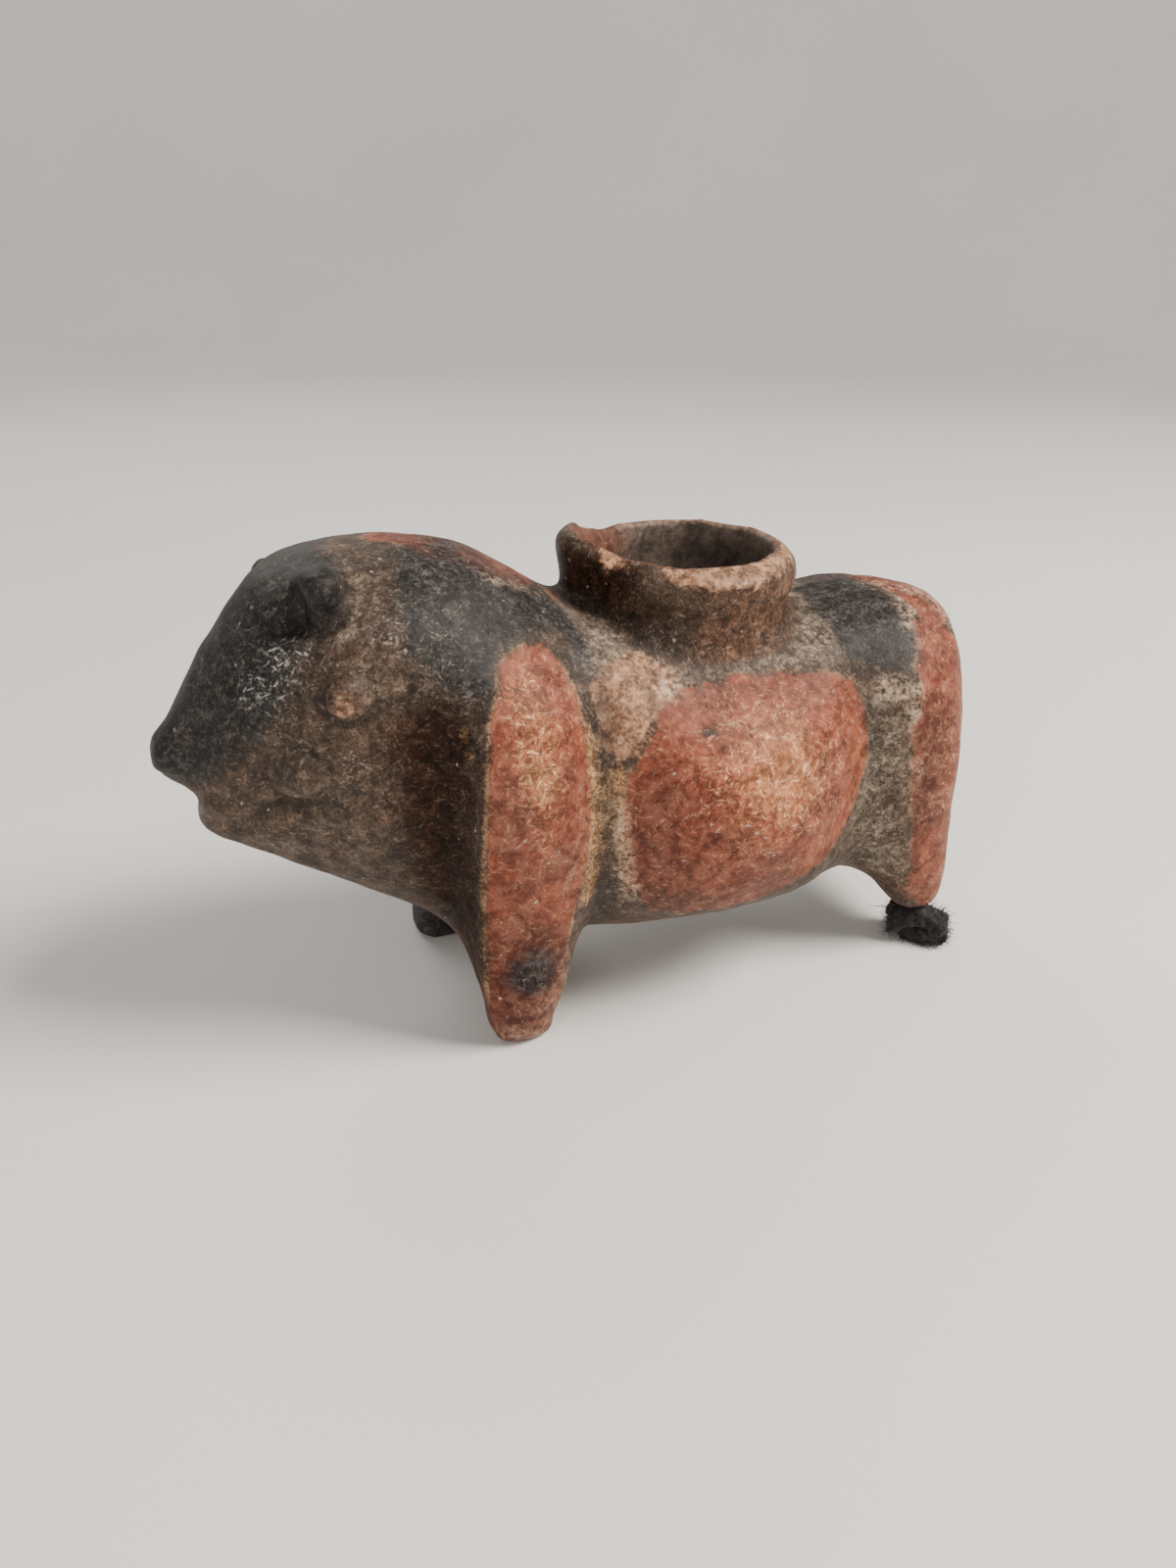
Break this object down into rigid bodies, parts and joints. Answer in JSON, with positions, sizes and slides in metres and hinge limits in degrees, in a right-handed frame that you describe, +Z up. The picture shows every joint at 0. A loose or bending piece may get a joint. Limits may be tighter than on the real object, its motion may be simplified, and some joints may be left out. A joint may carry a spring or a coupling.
{
  "type": "animal effigy vessel",
  "caption": "Hollow earthenware vessel shaped as a standing four-legged animal, with a wedge-shaped head and a pouring neck on its back.",
  "frame": {"origin": "on the surface the vessel stands on, under the middle of its overall box", "axes": "+Z up, -X towards the head, +X towards the rump, -Y the side with the felt under the hind foot"},
  "size_m": [0.1834, 0.0842, 0.1082],
  "materials": {
    "fired_clay": "burnished red and grey-black slip, worn, semi-matte",
    "felt": "fuzzy black felt"
  },
  "bodies": {
    "root": {"vessel": "fired_clay", "hind_foot_felt": "felt"}
  },
  "joints": []
}
